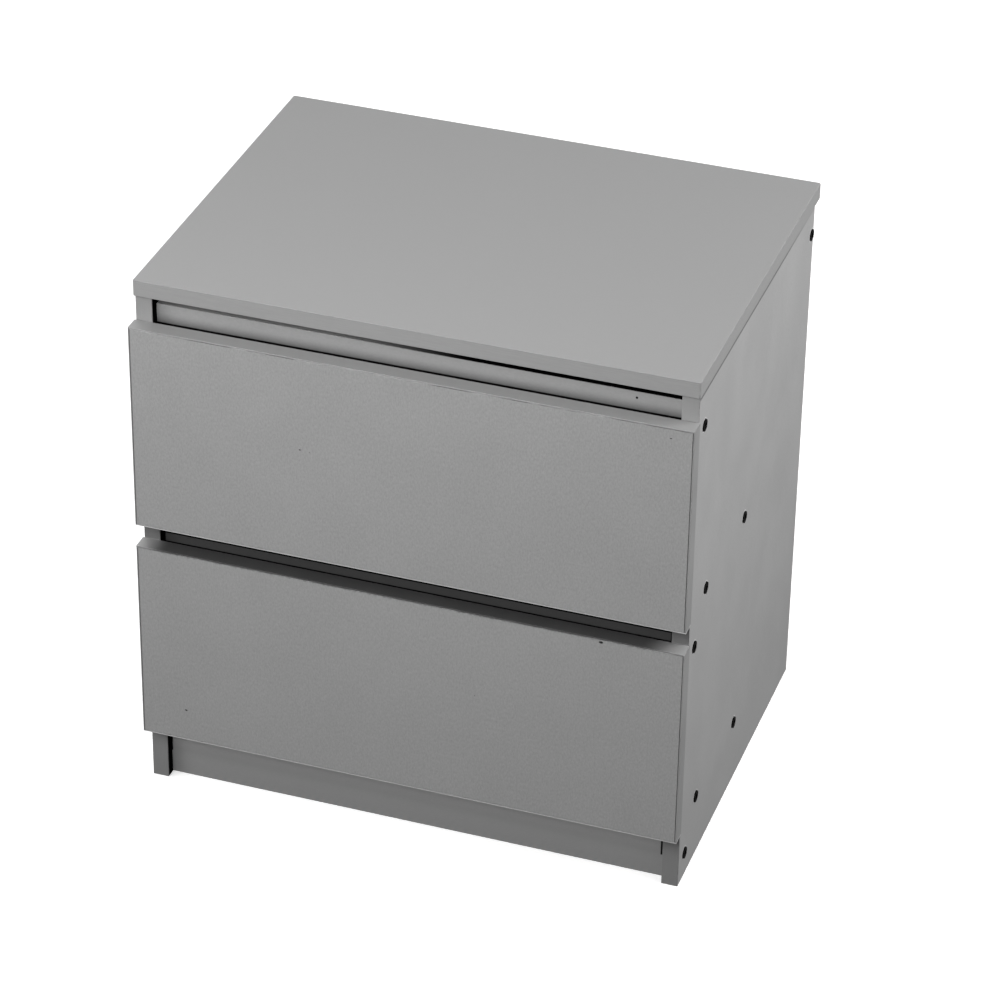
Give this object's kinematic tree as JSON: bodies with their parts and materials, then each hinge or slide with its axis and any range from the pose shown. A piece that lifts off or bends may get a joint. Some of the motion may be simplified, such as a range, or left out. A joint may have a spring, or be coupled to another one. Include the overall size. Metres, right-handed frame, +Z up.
{
  "type": "nightstand",
  "caption": "Small flat-pack nightstand with handleless overlay drawers on wooden runners, opened by finger gaps, under a flat overhanging top.",
  "frame": {"origin": "on the floor, at the centre of the overall footprint including the drawer fronts", "axes": "+Z up; the drawers face and open towards -Y; +X is to the right seen from the front, and the object mirrors about the YZ plane"},
  "size_m": [0.4, 0.3104, 0.41],
  "materials": {
    "top_laminate": "smooth matt grey laminate over particle board, radiused edges",
    "front_laminate": "fine-grained matt grey laminate over particle board",
    "side_laminate": "fine-grained matt grey laminate over particle board",
    "rail_laminate": "matt grey laminate over particle board",
    "drawer_laminate": "matt grey laminate over particle board",
    "edge_band": "satin grey PVC edge band with a thin dark glue seam",
    "hardboard": "grey-faced hardboard",
    "runner_wood": "planed softwood strip, unpainted",
    "dowel_wood": "fluted beech, unpainted",
    "black_screw": "black oxide steel, socket head",
    "zinc_hardware": "zinc plated steel and die-cast zinc",
    "bracket_plastic": "grey moulded plastic"
  },
  "bodies": {
    "cabinet": {"back_panel": "hardboard", "bottom_back_rail": "rail_laminate", "bracket_screws": "zinc_hardware", "left_rail_screws": "black_screw", "left_runner_screws": "black_screw", "left_side_edge_band": "edge_band", "left_side_panel": "side_laminate", "lower_drawer_left_runner": "runner_wood", "lower_drawer_right_runner": "runner_wood", "middle_rail": "rail_laminate", "plinth": "rail_laminate", "rail_dowels": "dowel_wood", "right_rail_screws": "black_screw", "right_runner_screws": "black_screw", "right_side_edge_band": "edge_band", "right_side_panel": "side_laminate", "top_back_rail": "rail_laminate", "top_brackets": "bracket_plastic", "top_front_rail": "rail_laminate", "top_panel": "top_laminate", "upper_drawer_left_runner": "runner_wood", "upper_drawer_right_runner": "runner_wood"},
    "lower_drawer": {"lower_drawer_back": "drawer_laminate", "lower_drawer_back_screws": "zinc_hardware", "lower_drawer_bottom": "hardboard", "lower_drawer_bottom_screws": "zinc_hardware", "lower_drawer_cam_bolts": "zinc_hardware", "lower_drawer_cams": "zinc_hardware", "lower_drawer_dowels": "dowel_wood", "lower_drawer_front": "front_laminate", "lower_drawer_front_edge_bands": "edge_band", "lower_drawer_left_side": "drawer_laminate", "lower_drawer_right_side": "drawer_laminate"},
    "upper_drawer": {"upper_drawer_back": "drawer_laminate", "upper_drawer_back_screws": "zinc_hardware", "upper_drawer_bottom": "hardboard", "upper_drawer_bottom_screws": "zinc_hardware", "upper_drawer_cam_bolts": "zinc_hardware", "upper_drawer_cams": "zinc_hardware", "upper_drawer_dowels": "dowel_wood", "upper_drawer_front": "front_laminate", "upper_drawer_front_edge_bands": "edge_band", "upper_drawer_left_side": "drawer_laminate", "upper_drawer_right_side": "drawer_laminate"}
  },
  "joints": [
    {"name": "upper_drawer_slide", "type": "slide", "parent": "cabinet", "child": "upper_drawer", "axis": [0, -1, 0], "range_m": [0, 0.2]},
    {"name": "lower_drawer_slide", "type": "slide", "parent": "cabinet", "child": "lower_drawer", "axis": [0, -1, 0], "range_m": [0, 0.2]}
  ]
}
